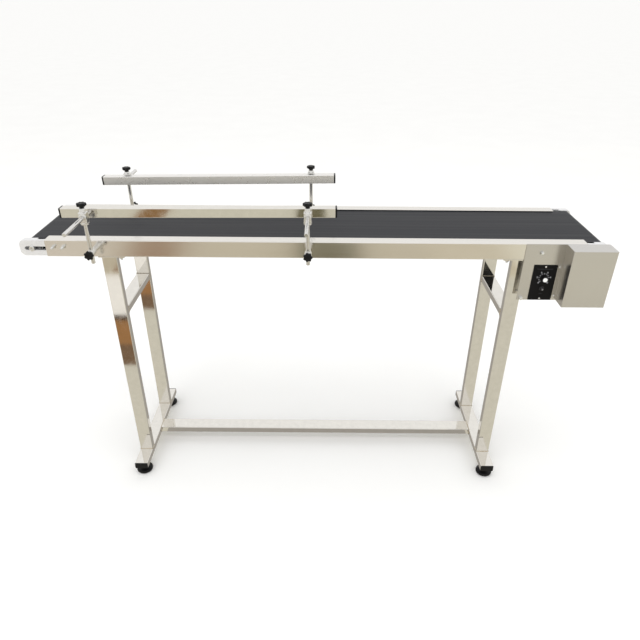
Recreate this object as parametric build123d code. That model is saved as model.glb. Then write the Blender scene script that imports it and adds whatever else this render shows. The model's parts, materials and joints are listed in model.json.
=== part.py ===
from build123d import *
from math import radians, tan
import os

# Bench belt conveyor. X runs along the belt (tail at -X, drive at +X), Y across it,
# Z is up and z = 0 is the floor. All sizes are in millimetres.

# --- sizes that are set by themselves -------------------------------------------------
ROLLER_SPAN = 1500.0      # tail roller centre to drive roller centre
BELT_W = 250.0            # belt width
DECK_Z = 786.0            # floor to the top of the side rails
BELT_T = 2.0              # belt thickness
ROLLER_R = 18.5           # both end rollers
SHEET_T = 1.5             # folded stainless sheet
EDGE_W = 22.5             # belt edge to the outside of a side rail
LIP_W = 10.5              # how far a rail's top flange reaches over the belt edge
RAIL_BACK = 37.0          # roller centre back to the end of the rail
TUBE_W = 40.0             # frame tube, wide side
TUBE_H = 20.0             # frame tube, narrow side
TUBE_T = 1.5              # frame tube wall
LEG_LEFT_X = -558.0
LEG_RIGHT_X = 548.0
LEG_INSET = 17.5          # outside of a rail in to the outside of a leg
FOOT_OVERHANG = 70.0      # foot beam beyond the outside of a leg
FOOT_H = 27.0             # floor to the underside of a foot beam
BRACE_DROP = 215.0        # rail top down to the top of the upper brace
STRETCHER_W = 46.0
GUIDE_SQ = 25.0           # guide rail, square tube
GUIDE_X0_FRONT = -654.0   # tail ends of the guide rails
GUIDE_X0_REAR = -646.0
GUIDE_X1 = 54.0           # drive end of both guide rails
LEAN_FRONT = 0.45         # degrees, drive end of the front guide rail set a little high
LEAN_REAR = 0.85
GUIDE_RISE = 78.0         # rail top up to the guide rail's axis
CLAMP_X = (-580.0, -20.0)
POST_OUT = 33.0           # outside of a side rail out to the post axis
POST_R = 5.0
FRONT_FACE = 28.0         # post axis in to the near face of the front guide rail
REAR_FACE = 12.0          # post axis in to the nearest face of the rear guide rail
FRONT_ROD = 124.0         # rod beyond the post axis, front guide
REAR_ROD = 80.0           # rod beyond the post axis, rear guide
PLATE_X0 = 552.0          # head plate, tail-side edge
PLATE_H = 164.0
PLATE_T = 2.0
COVER_X0 = 657.5          # drive cover, tail-side face
COVER_D = 49.0            # drive cover depth
COVER_UP = 3.0            # drive cover's lower edge above the head plate's
PANEL_W = 62.5
PANEL_H = 104.0
MOTOR_SQ = 80.0
KNOB_R = 12.5
KNOB_SEAT_FRONT = 24.0    # guide rod axis up to the seat of the front upper knobs
KNOB_SEAT_REAR = 19.0
CAP_T = 4.5               # head of a guide rail's end cap
PAD_R = 25.0
PAD_IN = 27.0             # end of a foot beam in to the pad's centre
PAD_H = 10.0

# --- clearances -----------------------------------------------------------------------
RUN_FIT = 0.05            # radial, shaft in bearing or post in clamp
BOLT_GAP = 0.3            # radial, screw in its clearance hole
WRAP_GAP = 0.3            # belt to roller
BELT_UNDER_LIP = 1.7      # belt face to the underside of the rail's top flange
SIDE_GAP = 2.0            # belt edge to an end block
FLOOR_GAP = 1.2           # return run to the underside of the rail

# --- derived --------------------------------------------------------------------------
WRAP_R = ROLLER_R + WRAP_GAP + BELT_T
RAIL_H = SHEET_T + BELT_UNDER_LIP + 2 * WRAP_R + FLOOR_GAP
RAIL_Z0 = DECK_Z - RAIL_H
ROLL_X = ROLLER_SPAN / 2
ROLL_Z = DECK_Z - SHEET_T - BELT_UNDER_LIP - WRAP_R
RAIL_X = ROLL_X - RAIL_BACK
RAIL_Y = BELT_W / 2 + EDGE_W
WEB_Y = RAIL_Y - SHEET_T
TOP_FLANGE = EDGE_W + LIP_W
LOW_FLANGE = EDGE_W - 2.5
BLOCK_Y0 = BELT_W / 2 + SIDE_GAP
BLOCK_Z0 = RAIL_Z0 + SHEET_T
BLOCK_Z1 = DECK_Z - SHEET_T
NOSE_X = ROLL_X + 32.0
HEAD_NOSE_X = ROLL_X + 21.0
SHOULDER_X = ROLL_X - 15.0
TONGUE_X = RAIL_X - 63.0
SCREW_X = (RAIL_X - 21.0, RAIL_X - 47.0)
SCREW_Z = ROLL_Z + 5.0
LEG_Y = RAIL_Y - LEG_INSET
BEAM_Z0 = FOOT_H
BEAM_Z1 = FOOT_H + TUBE_H
BEAM_Y = LEG_Y + FOOT_OVERHANG
PAD_T = 3.0
LEG_Z1 = RAIL_Z0 - PAD_T
POST_Y = RAIL_Y + POST_OUT
CLAMP_Z = ROLL_Z + 3.0
GUIDE_Z = DECK_Z + GUIDE_RISE
GUIDE_MID = (GUIDE_X0_REAR + GUIDE_X1) / 2
PLATE_Y = RAIL_Y + PLATE_T
PLATE_Z0 = DECK_Z - PLATE_H
PLATE_X1 = HEAD_NOSE_X
MOTOR_X = ROLL_X - 35.0
MOTOR_Z = RAIL_Z0 - MOTOR_SQ / 2 - 24.0
PANEL_X = PLATE_X0 + 61.5
PANEL_Z0 = PLATE_Z0 + 1.0
DRIVE_PULLEY_R = 13.0
MOTOR_PULLEY_R = 17.0
PULLEY_Y0 = PLATE_Y + 14.0
PULLEY_W = 16.0
SHAFT_R = 6.0
AXLE_R = 5.0
M6 = 3.0


def bar(x0, x1, y0, y1, z0, z1):
    """A box between two corners."""
    box = Box(abs(x1 - x0), abs(y1 - y0), abs(z1 - z0))
    return Pos((x0 + x1) / 2, (y0 + y1) / 2, (z0 + z1) / 2) * box


def rod_y(x, z, r, y0, y1):
    """A cylinder along Y."""
    return Pos(x, (y0 + y1) / 2, z) * Rot(90, 0, 0) * Cylinder(r, abs(y1 - y0))


def rod_z(x, y, r, z0, z1):
    """A cylinder along Z."""
    return Pos(x, y, (z0 + z1) / 2) * Cylinder(r, abs(z1 - z0))


def group(solids):
    """Several separate solids that share one file."""
    return Compound(children=[s for item in solids for s in item.solids()])


def tube(x0, x1, y0, y1, z0, z1, along):
    """Rectangular tube with rounded corners, open along one axis."""
    outer = bar(x0, x1, y0, y1, z0, z1)
    outer = fillet(outer.edges().filter_by(along), 1.8)
    t = TUBE_T
    far = 5.0
    if along == Axis.X:
        inner = bar(x0 - far, x1 + far, y0 + t, y1 - t, z0 + t, z1 - t)
    elif along == Axis.Y:
        inner = bar(x0 + t, x1 - t, y0 - far, y1 + far, z0 + t, z1 - t)
    else:
        inner = bar(x0 + t, x1 - t, y0 + t, y1 - t, z0 - far, z1 + far)
    return outer - inner


def hex_y(x, z, flats, y0, y1):
    """A hexagonal nut or head along Y."""
    face = RegularPolygon(flats / 2, 6, major_radius=False)
    solid = extrude(face, abs(y1 - y0))
    return Pos(x, max(y0, y1), z) * Rot(90, 0, 0) * solid


def hex_z(x, y, flats, z0, z1):
    """A hexagonal nut or head along Z."""
    face = RegularPolygon(flats / 2, 6, major_radius=False)
    return Pos(x, y, z0) * extrude(face, z1 - z0)


# --- side rails and deck --------------------------------------------------------------
def side_rail(side):
    """Folded channel: web outside, wide top flange, narrow lower flange."""
    outer = bar(-RAIL_X, RAIL_X, RAIL_Y - TOP_FLANGE, RAIL_Y, RAIL_Z0, DECK_Z)
    web_edges = outer.edges().filter_by(Axis.X).group_by(Axis.Y)[-1]
    outer = fillet(web_edges, 2.0)
    far = 5.0
    hollow = bar(-RAIL_X - far, RAIL_X + far, RAIL_Y - TOP_FLANGE - far, WEB_Y, BLOCK_Z0, BLOCK_Z1)
    low_cut = bar(
        -RAIL_X - far,
        RAIL_X + far,
        RAIL_Y - TOP_FLANGE - far,
        RAIL_Y - LOW_FLANGE,
        RAIL_Z0 - far,
        BLOCK_Z1,
    )
    rail = outer - hollow - low_cut
    for x in CLAMP_X:
        rail -= rod_y(x, CLAMP_Z, 4.0 + BOLT_GAP, WEB_Y - far, RAIL_Y + far)
    for x in SCREW_X:
        rail -= rod_y(-x, SCREW_Z, M6 + BOLT_GAP, WEB_Y - far, RAIL_Y + far)
        rail -= rod_y(x, SCREW_Z, M6 + BOLT_GAP, WEB_Y - far, RAIL_Y + far)
    rail -= rod_y(PLATE_X0 + 44.0, ROLL_Z - 1.0, M6 + BOLT_GAP, WEB_Y - far, RAIL_Y + far)
    for x in leg_bolt_x():
        rail -= rod_z(x, LEG_BOLT_Y, M6 + BOLT_GAP, RAIL_Z0 - far, BLOCK_Z0 + far)
    return rail if side > 0 else mirror(rail, about=Plane.XZ)


def slider_bed():
    """Flat sheet that carries the loaded run of the belt."""
    end = ROLL_X - ROLLER_R - 6.0
    top = ROLL_Z + ROLLER_R + WRAP_GAP
    sheet = bar(-end, end, -BELT_W / 2 + 1, BELT_W / 2 - 1, top - 3.0, top)
    ends = sheet.edges().filter_by(Axis.Y).group_by(Axis.Z)[-1]
    return chamfer(ends, 1.2)


def cross_members():
    """Four tubes between the webs, under the bed and inside the belt loop."""
    top = ROLL_Z + ROLLER_R + WRAP_GAP - 3.0
    low = ROLL_Z - ROLLER_R + 5.0
    first = RAIL_X - 93.0
    pitch = first * 2 / 3
    made = []
    for i in range(4):
        x = -first + i * pitch
        made.append(tube(x - 15, x + 15, -WEB_Y, WEB_Y, low, top, Axis.Y))
    return group(made)


# --- end blocks -----------------------------------------------------------------------
def end_block(nose_x, slotted):
    """Block inside the end of the far rail, drawn at the +X end."""
    nose = bar(SHOULDER_X, nose_x, BLOCK_Y0, WEB_Y, BLOCK_Z0, BLOCK_Z1)
    corners = nose.edges().filter_by(Axis.Y).group_by(Axis.X)[-1]
    nose = fillet(corners, 14.0)
    tongue = bar(TONGUE_X, SHOULDER_X + 1.0, WEB_Y - 10.0, WEB_Y, BLOCK_Z0, BLOCK_Z1)
    block = nose + tongue
    if slotted:
        low = rod_y(ROLL_X + 14.0, ROLL_Z, AXLE_R + 0.1, BLOCK_Y0 - 5, WEB_Y + 5)
        high = rod_y(ROLL_X - 60.0, ROLL_Z, AXLE_R + 0.1, BLOCK_Y0 - 5, WEB_Y + 5)
        reach = AXLE_R + 0.1
        mid = bar(ROLL_X - 60, ROLL_X + 14, BLOCK_Y0 - 5, WEB_Y + 5, ROLL_Z - reach, ROLL_Z + reach)
        block -= low + mid + high
    else:
        block -= rod_y(ROLL_X, ROLL_Z, 14.0 + RUN_FIT, BLOCK_Y0 + 4, WEB_Y + 5)
        block -= rod_y(ROLL_X, ROLL_Z, SHAFT_R + 2.0, BLOCK_Y0 - 5, WEB_Y)
    for x in SCREW_X:
        block -= rod_y(x, SCREW_Z, M6 + BOLT_GAP, BLOCK_Y0 - 5, WEB_Y + 5)
    return block


def both_sides(part):
    """The part and its mirror image across the belt."""
    return group([part, mirror(part, about=Plane.XZ)])


def tail_blocks():
    """Slotted blocks that hold the tail roller's axle."""
    return both_sides(mirror(end_block(NOSE_X, True), about=Plane.YZ))


def head_blocks():
    """Blocks with the drive roller's bearings."""
    return both_sides(end_block(HEAD_NOSE_X, False))


def drive_bearings():
    """Two sealed ball bearings, drawn as one ring each with a recessed shield."""
    ring = rod_y(ROLL_X, ROLL_Z, 14.0, BLOCK_Y0 + 4, BLOCK_Y0 + 12)
    ring -= rod_y(ROLL_X, ROLL_Z, SHAFT_R + RUN_FIT, BLOCK_Y0, WEB_Y)
    shield = rod_y(ROLL_X, ROLL_Z, 11.5, BLOCK_Y0 + 11.3, BLOCK_Y0 + 13)
    shield -= rod_y(ROLL_X, ROLL_Z, 8.5, BLOCK_Y0, WEB_Y)
    return both_sides(ring - shield)


# --- rollers and belt -----------------------------------------------------------------
def roller(x):
    """Slightly rounded roller body."""
    body = rod_y(x, ROLL_Z, ROLLER_R, -BELT_W / 2, BELT_W / 2)
    return chamfer(body.edges().filter_by(GeomType.CIRCLE), 1.0)


def tail_roller():
    """Hollow roller on internal bearings that turns on the fixed axle."""
    return roller(-ROLL_X) - rod_y(-ROLL_X, ROLL_Z, AXLE_R + RUN_FIT, -BELT_W, BELT_W)


def tail_axle():
    """Fixed axle that slides along the slots to set the belt tension."""
    axle = rod_y(-ROLL_X, ROLL_Z, AXLE_R, -WEB_Y, WEB_Y)
    for side in (-1, 1):
        axle -= rod_y(-ROLL_X, ROLL_Z, 2.6, side * (WEB_Y - 14), side * (WEB_Y + 1))
    return axle


def axle_screws():
    """Button screws that clamp the tail axle to the blocks."""
    made = []
    for side in (-1, 1):
        head = rod_y(-ROLL_X, ROLL_Z, 7.0, side * WEB_Y, side * (WEB_Y + 3.2))
        head = fillet(head.edges().filter_by(GeomType.CIRCLE).group_by(Axis.Y)[0 if side < 0 else -1], 1.4)
        head -= hex_y(-ROLL_X, ROLL_Z, 4.0, side * (WEB_Y + 1.2), side * (WEB_Y + 6))
        shank = rod_y(-ROLL_X, ROLL_Z, 2.5, side * (WEB_Y - 12), side * (WEB_Y + 1))
        made.append(head + shank)
    return group(made)


def drive_roller():
    """Drive roller with its shaft, long on the near side for the pulley."""
    shaft = rod_y(ROLL_X, ROLL_Z, SHAFT_R, -(PULLEY_Y0 + PULLEY_W + 3), BLOCK_Y0 + 14)
    return roller(ROLL_X) + shaft


def belt():
    """Endless belt round both rollers."""
    def loop(r):
        ends = Pos(-ROLL_X, 0) * Circle(r) + Pos(ROLL_X, 0) * Circle(r)
        return ends + Rectangle(2 * ROLL_X, 2 * r)
    ring = loop(WRAP_R) - loop(WRAP_R - BELT_T)
    solid = extrude(Plane.XZ * ring, BELT_W)
    return Pos(0, BELT_W / 2, ROLL_Z) * solid


# --- drive side -----------------------------------------------------------------------
def head_plate():
    """Near side plate that carries the motor, the speed control and the cover."""
    plate = bar(PLATE_X0, PLATE_X1, -PLATE_Y, -RAIL_Y, PLATE_Z0, DECK_Z)
    plate = chamfer(plate.edges().filter_by(Axis.Y), 1.0)
    y0, y1 = -PLATE_Y - 5, -RAIL_Y + 5
    window = bar(PANEL_X - 24.5, PANEL_X + 24.5, y0, y1, PANEL_Z0 + 10, PANEL_Z0 + PANEL_H - 10)
    plate -= window
    plate -= rod_y(ROLL_X, ROLL_Z, SHAFT_R + 3.0, y0, y1)
    plate -= rod_y(MOTOR_X, MOTOR_Z, 15.0, y0, y1)
    for x, z in plate_bolt_points():
        plate -= rod_y(x, z, M6 + BOLT_GAP, y0, y1)
    for x, z in small_screw_points():
        plate -= rod_y(x, z, 1.5 + BOLT_GAP, y0, y1)
    return plate


def plate_bolt_points():
    """Upper bolt through the rail web, lower one near the corner."""
    return ((PLATE_X0 + 44.0, ROLL_Z - 1.0), (PLATE_X0 + 11.0, PLATE_Z0 + 6.5))


def small_screw_points():
    """Panel screws first, then the two in the cover's tab."""
    return (
        (PANEL_X, PANEL_Z0 + PANEL_H - 5.0),
        (PANEL_X, PANEL_Z0 + 5.0),
        (COVER_X0 - 6.0, PLATE_Z0 + COVER_UP + 96.0),
        (COVER_X0 - 6.0, PLATE_Z0 + COVER_UP + 11.0),
    )


def drive_cover():
    """Five-sided folded box over the timing drive, with a screw tab."""
    y_out = -(PLATE_Y + COVER_D)
    z0 = PLATE_Z0 + COVER_UP
    outer = bar(COVER_X0, PLATE_X1, y_out, -PLATE_Y, z0, DECK_Z)
    outer = fillet(outer.edges().group_by(Axis.Y)[0], 1.2)
    t = SHEET_T
    inner = bar(COVER_X0 + t, PLATE_X1 - t, y_out + t, -PLATE_Y + 5, z0 + t, DECK_Z - t)
    tab = bar(COVER_X0 - 12, COVER_X0 + 1, -PLATE_Y - t, -PLATE_Y, z0 + 3, z0 + 103)
    cover = (outer - inner) + tab
    for x, z in small_screw_points()[2:]:
        cover -= rod_y(x, z, 1.5 + BOLT_GAP, -PLATE_Y - 5, -PLATE_Y + 5)
    return cover


def pan_screw(x, z, y):
    """Small cross-recess pan head screw, head facing -Y on the plane y."""
    head = rod_y(x, z, 2.8, y - 1.8, y)
    head = fillet(head.edges().filter_by(GeomType.CIRCLE).group_by(Axis.Y)[0], 1.0)
    shank = rod_y(x, z, 1.5, y - 0.5, y + 5.5)
    slot_a = bar(x - 1.6, x + 1.6, y - 3, y - 1.1, z - 0.35, z + 0.35)
    slot_b = bar(x - 0.35, x + 0.35, y - 3, y - 1.1, z - 1.6, z + 1.6)
    return head + shank - slot_a - slot_b


def small_screws():
    """Screws of the control panel and of the drive cover."""
    points = small_screw_points()
    made = [pan_screw(x, z, -PLATE_Y - 2.0) for x, z in points[:2]]
    made += [pan_screw(x, z, -PLATE_Y - SHEET_T) for x, z in points[2:]]
    return group(made)


def gearbox():
    """Square gearhead bolted behind the head plate."""
    h = MOTOR_SQ / 2
    body = bar(MOTOR_X - h, MOTOR_X + h, -RAIL_Y, -RAIL_Y + 45, MOTOR_Z - h, MOTOR_Z + h)
    body = fillet(body.edges().filter_by(Axis.Y), 5.0)
    return body - rod_y(MOTOR_X, MOTOR_Z, SHAFT_R + RUN_FIT, -RAIL_Y - 5, -RAIL_Y + 40)


def motor_body():
    """Motor can with end bell and cooling grooves."""
    y0 = -RAIL_Y + 45
    can = rod_y(MOTOR_X, MOTOR_Z, MOTOR_SQ / 2 - 1, y0, y0 + 95)
    for i in range(5):
        y = y0 + 18 + i * 12
        ring = rod_y(MOTOR_X, MOTOR_Z, MOTOR_SQ / 2 + 5, y, y + 4)
        ring -= rod_y(MOTOR_X, MOTOR_Z, MOTOR_SQ / 2 - 3, y - 1, y + 5)
        can -= ring
    return can


def pulley(x, z, r, y0):
    """Flanged timing pulley with its teeth left plain."""
    body = rod_y(x, z, r, y0, y0 + PULLEY_W)
    rim = r + 3.0
    return body + rod_y(x, z, rim, y0, y0 + 1.5) + rod_y(x, z, rim, y0 + PULLEY_W - 1.5, y0 + PULLEY_W)


def drive_pulley():
    """Pulley on the drive roller's shaft."""
    body = pulley(ROLL_X, ROLL_Z, DRIVE_PULLEY_R, -(PULLEY_Y0 + PULLEY_W))
    return body - rod_y(ROLL_X, ROLL_Z, SHAFT_R + RUN_FIT, -PULLEY_Y0 - 40, -PULLEY_Y0 + 5)


def motor_pulley():
    """Pulley and gearbox output shaft, one turning piece."""
    body = pulley(MOTOR_X, MOTOR_Z, MOTOR_PULLEY_R, -(PULLEY_Y0 + PULLEY_W))
    return body + rod_y(MOTOR_X, MOTOR_Z, SHAFT_R, -(PULLEY_Y0 + PULLEY_W + 2), -RAIL_Y + 38)


def timing_belt():
    """Closed drive belt between the two pulleys."""
    def loop(extra):
        small = (Pos(ROLL_X, ROLL_Z) * Circle(DRIVE_PULLEY_R + extra)).edges()
        large = (Pos(MOTOR_X, MOTOR_Z) * Circle(MOTOR_PULLEY_R + extra)).edges()
        return make_hull(small + large)
    ring = loop(WRAP_GAP + 2.2) - loop(WRAP_GAP)
    solid = extrude(Plane.XZ * ring, PULLEY_W - 4.0)
    return Pos(0, -(PULLEY_Y0 + 2.0), 0) * solid


def control_panel():
    """Black front plate of the speed control."""
    x0, x1 = PANEL_X - PANEL_W / 2, PANEL_X + PANEL_W / 2
    plate = bar(x0, x1, -PLATE_Y - 2.0, -PLATE_Y, PANEL_Z0, PANEL_Z0 + PANEL_H)
    plate = fillet(plate.edges().filter_by(Axis.Y), 1.5)
    y0, y1 = -PLATE_Y - 5, -PLATE_Y + 5
    for x, z in small_screw_points()[:2]:
        plate -= rod_y(x, z, 1.5 + BOLT_GAP, y0, y1)
    plate -= rod_y(PANEL_X, KNOB_Z, 3.0 + BOLT_GAP, y0, y1)
    plate -= bar(PANEL_X - 2.5, PANEL_X + 2.5, y0, y1, TOGGLE_Z - 4, TOGGLE_Z + 4)
    return plate


def controller_case():
    """Electronics housing behind the panel, through the plate's window."""
    z0, z1 = PANEL_Z0 + 11, PANEL_Z0 + PANEL_H - 11
    case = bar(PANEL_X - 23.5, PANEL_X + 23.5, -PLATE_Y, -PLATE_Y + 72, z0, z1)
    case = fillet(case.edges().filter_by(Axis.Y), 2.0)
    case -= rod_y(PANEL_X, KNOB_Z, 3.0 + BOLT_GAP, -PLATE_Y - 5, -PLATE_Y + 8)
    return case - bar(PANEL_X - 2.5, PANEL_X + 2.5, -PLATE_Y - 5, -PLATE_Y + 8, TOGGLE_Z - 5, TOGGLE_Z + 5)


def speed_knob():
    """Skirted control knob with a fluted grip."""
    face = -PLATE_Y - 2.0
    skirt = rod_y(PANEL_X, KNOB_Z, 8.5, face - 3.0, face - 0.5)
    grip = rod_y(PANEL_X, KNOB_Z, 6.8, face - 13.0, face - 2.0)
    for i in range(12):
        flute = Pos(PANEL_X, face - 8, KNOB_Z) * Rot(0, i * 30, 0) * Pos(7.4, 0, 0)
        grip -= flute * Rot(90, 0, 0) * Cylinder(1.0, 12)
    return skirt + grip + rod_y(PANEL_X, KNOB_Z, 3.0, face - 3, face + 8)


def speed_knob_cap():
    """Pale insert in the end of the knob with a pointer line."""
    face = -PLATE_Y - 15.0
    cap = rod_y(PANEL_X, KNOB_Z, 6.0, face - 1.6, face)
    cap = fillet(cap.edges().filter_by(GeomType.CIRCLE).group_by(Axis.Y)[0], 0.8)
    return cap - bar(PANEL_X - 0.4, PANEL_X + 0.4, face - 5, face - 1.1, KNOB_Z, KNOB_Z + 9)


def toggle_lever():
    """Bat lever of the run switch."""
    tip_y = -PLATE_Y - 10.0
    lever = rod_y(PANEL_X, TOGGLE_Z, 1.5, tip_y, -PLATE_Y + 3)
    return lever + Pos(PANEL_X, tip_y, TOGGLE_Z) * Sphere(2.2)


# --- guide rails ----------------------------------------------------------------------
def lean(side):
    """Lean of the guide rail on one side, in degrees."""
    return LEAN_FRONT if side < 0 else LEAN_REAR


def guide_z(x, side):
    """Height of a guide rail's axis at one clamp."""
    return GUIDE_Z + tan(radians(lean(side))) * (x - GUIDE_MID)


def tail_end(side):
    """Tail end of the guide rail on one side."""
    return GUIDE_X0_FRONT if side < 0 else GUIDE_X0_REAR


def knob_seat(side):
    """Guide rod axis up to the seat of an upper knob."""
    return KNOB_SEAT_FRONT if side < 0 else KNOB_SEAT_REAR


def leaned(shape, side):
    """Turn a level guide piece about the middle of its rail."""
    return Pos(GUIDE_MID, 0, GUIDE_Z) * Rot(0, -lean(side), 0) * Pos(-GUIDE_MID, 0, -GUIDE_Z) * shape


def guide_rail(face_y, side):
    """Square tube between its end caps, nearest face to the post at face_y."""
    away = face_y - GUIDE_SQ if face_y > 0 else face_y + GUIDE_SQ
    half = GUIDE_SQ / 2
    x0, x1 = tail_end(side) + CAP_T, GUIDE_X1 - CAP_T
    y0, y1 = min(face_y, away), max(face_y, away)
    return leaned(tube(x0, x1, y0, y1, GUIDE_Z - half, GUIDE_Z + half, Axis.X), side)


def guide_caps(face_y, side):
    """Plastic plugs in both ends of a guide rail."""
    away = face_y - GUIDE_SQ if face_y > 0 else face_y + GUIDE_SQ
    y0, y1 = min(face_y, away), max(face_y, away)
    half = GUIDE_SQ / 2
    gap = TUBE_T + 0.1
    made = []
    for x_end, way in ((tail_end(side), 1), (GUIDE_X1, -1)):
        x1 = x_end + way * CAP_T
        head = bar(x_end, x1, y0, y1, GUIDE_Z - half, GUIDE_Z + half)
        head = fillet(head.edges().filter_by(Axis.X), 1.8)
        rim = head.edges().group_by(Axis.X)[0 if way > 0 else -1]
        head = chamfer(rim, 0.6)
        z0, z1 = GUIDE_Z - half + gap, GUIDE_Z + half - gap
        made.append(leaned(head + bar(x1, x1 + way * 10, y0 + gap, y1 - gap, z0, z1), side))
    return group(made)


def guide_rods(face_y, tip_y, side):
    """Two round rods screwed to the outer face of a guide rail."""
    made = []
    for x in CLAMP_X:
        rod = rod_y(x, guide_z(x, side), POST_R, face_y, tip_y)
        tip = rod.edges().filter_by(GeomType.CIRCLE).group_by(Axis.Y)[-1 if tip_y > 0 else 0]
        made.append(chamfer(tip, 0.8))
    return group(made)


def upper_clamps(side):
    """Cross blocks: rod through the side, post up from below, knob screw from above."""
    y = side * POST_Y
    made = []
    for x in CLAMP_X:
        z = guide_z(x, side)
        block = bar(x - 10, x + 10, y - 10, y + 10, z - 15, z + 14)
        block = fillet(block.edges().filter_by(Axis.Z), 3.0)
        block += rod_z(x, y, 11.0, z - 19, z - 15)
        block += rod_z(x, y, 7.5, z + 14, z + knob_seat(side) - 0.2)
        block -= rod_y(x, z, POST_R + RUN_FIT, y - 20, y + 20)
        block -= rod_z(x, y, POST_R + RUN_FIT, z - 30, z - 8)
        block -= rod_z(x, y, M6 + RUN_FIT, z + 7, z + 30)
        made.append(block)
    return group(made)


def posts(side):
    """Upright rods that carry one guide rail."""
    made = []
    for x in CLAMP_X:
        post = rod_z(x, side * POST_Y, POST_R, CLAMP_Z - 29, guide_z(x, side) - 9)
        made.append(chamfer(post.edges().filter_by(GeomType.CIRCLE), 0.8))
    return group(made)


def lower_clamps():
    """Studs through the rail webs with an eye for the post and a nut inside."""
    made = []
    for side in (-1, 1):
        for x in CLAMP_X:
            y = side * POST_Y
            body = rod_y(x, CLAMP_Z, 7.0, side * RAIL_Y, side * (POST_Y - 9))
            body += rod_y(x, CLAMP_Z, 10.0, y - side * 10, y + side * 10)
            body = body + rod_y(x, CLAMP_Z, 4.0, side * (WEB_Y - 8), side * (RAIL_Y + 1))
            body -= rod_z(x, y, POST_R + RUN_FIT, CLAMP_Z - 30, CLAMP_Z + 30)
            body -= rod_y(x, CLAMP_Z, M6 + RUN_FIT, y + side * 5, y + side * 20)
            made.append(body)
            nut = hex_y(x, CLAMP_Z, 13.0, side * WEB_Y, side * (WEB_Y - 6))
            made.append(nut - rod_y(x, CLAMP_Z, 4.0 + RUN_FIT, -WEB_Y * 2, WEB_Y * 2))
    return group(made)


def star_knob(reach):
    """Seven-lobed knob with its screw along -Z, seat at z = 0."""
    face = Circle(KNOB_R * 0.80)
    for i in range(7):
        face += Rot(0, 0, i * 360 / 7) * Pos(KNOB_R * 0.74, 0) * Circle(KNOB_R * 0.26)
    head = Pos(0, 0, 5.0) * extrude(face, 8.0)
    from_below = (Align.CENTER, Align.CENTER, Align.MIN)
    dome = Pos(0, 0, 5.0) * Cone(KNOB_R * 1.6, KNOB_R * 0.55, 11.0, align=from_below)
    hub = Cone(5.5, KNOB_R * 0.72, 5.0, align=from_below)
    screw = Pos(0, 0, -reach) * Cylinder(M6, reach + 3.0, align=from_below)
    return (head & dome) + hub + screw


def upper_knob(x, side):
    """Knob on top of a cross block, its screw stopping just above the rod."""
    seat = knob_seat(side)
    return Pos(x, side * POST_Y, guide_z(x, side) + seat) * star_knob(seat - POST_R - 4.0)


def lower_knob(x, side):
    """Knob on the outer end of an eye."""
    turn = Rot(90, 0, 0) if side < 0 else Rot(-90, 0, 0)
    return Pos(x, side * (POST_Y + 10.2), CLAMP_Z) * turn * star_knob(4.0)


# --- leg frames -----------------------------------------------------------------------
LEG_BOLT_Y = RAIL_Y - 10.0
KNOB_Z = PANEL_Z0 + PANEL_H - 37.5
TOGGLE_Z = PANEL_Z0 + 36.0


def leg_bolt_x():
    """Inboard end of each top plate."""
    return (LEG_LEFT_X + 37.0, LEG_RIGHT_X - 37.0)


def leg(x, side):
    """Upright tube from foot beam to top plate."""
    y_in, y_out = side * (LEG_Y - TUBE_H), side * LEG_Y
    y0, y1 = min(y_in, y_out), max(y_in, y_out)
    return tube(x - TUBE_W / 2, x + TUBE_W / 2, y0, y1, BEAM_Z1, LEG_Z1, Axis.Z)


def leg_top_plates():
    """Four flat plates welded on the legs and bolted under the rails."""
    made = []
    for x, way in ((LEG_LEFT_X, 1), (LEG_RIGHT_X, -1)):
        for side in (-1, 1):
            x0, x1 = x - way * 23.0, x + way * 49.0
            y0, y1 = side * (LEG_Y - TUBE_H - 2), side * (RAIL_Y - 1)
            plate = bar(x0, x1, y0, y1, LEG_Z1, RAIL_Z0)
            plate = fillet(plate.edges().filter_by(Axis.Z), 3.0)
            hole_x = x + way * 37.0
            made.append(plate - rod_z(hole_x, side * LEG_BOLT_Y, M6 + BOLT_GAP, LEG_Z1 - 5, RAIL_Z0 + 5))
    return group(made)


def leg_braces():
    """Flat-laid tubes between the front and rear leg of each frame."""
    z1 = DECK_Z - BRACE_DROP
    y = LEG_Y - TUBE_H
    made = []
    for x in (LEG_LEFT_X, LEG_RIGHT_X):
        made.append(tube(x - TUBE_W / 2, x + TUBE_W / 2, -y, y, z1 - TUBE_H, z1, Axis.Y))
    return group(made)


def foot_beams():
    """Beams along Y under each leg frame."""
    made = []
    for x in (LEG_LEFT_X, LEG_RIGHT_X):
        end = BEAM_Y - 3.0
        beam = tube(x - TUBE_W / 2, x + TUBE_W / 2, -end, end, BEAM_Z0, BEAM_Z1, Axis.Y)
        for side in (-1, 1):
            beam -= rod_z(x, side * FOOT_Y, 5.0 + BOLT_GAP, BEAM_Z0 - 5, BEAM_Z0 + 5)
        made.append(beam)
    return group(made)


FOOT_Y = BEAM_Y - PAD_IN


def beam_caps():
    """Plastic plugs in the four ends of the foot beams."""
    made = []
    gap = TUBE_T + 0.1
    for x in (LEG_LEFT_X, LEG_RIGHT_X):
        for side in (-1, 1):
            y0, y1 = side * BEAM_Y, side * (BEAM_Y - 3.0)
            head = bar(x - TUBE_W / 2, x + TUBE_W / 2, y0, y1, BEAM_Z0, BEAM_Z1)
            head = fillet(head.edges().filter_by(Axis.Y), 1.8)
            w = TUBE_W / 2 - gap
            plug = bar(x - w, x + w, y1, y1 - side * 9, BEAM_Z0 + gap, BEAM_Z1 - gap)
            made.append(head + plug)
    return group(made)


def stretcher():
    """Long low bar between the two foot beams."""
    x0, x1 = LEG_LEFT_X + TUBE_W / 2, LEG_RIGHT_X - TUBE_W / 2
    half = STRETCHER_W / 2
    return tube(x0, x1, -half, half, BEAM_Z0, BEAM_Z1, Axis.X)


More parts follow.
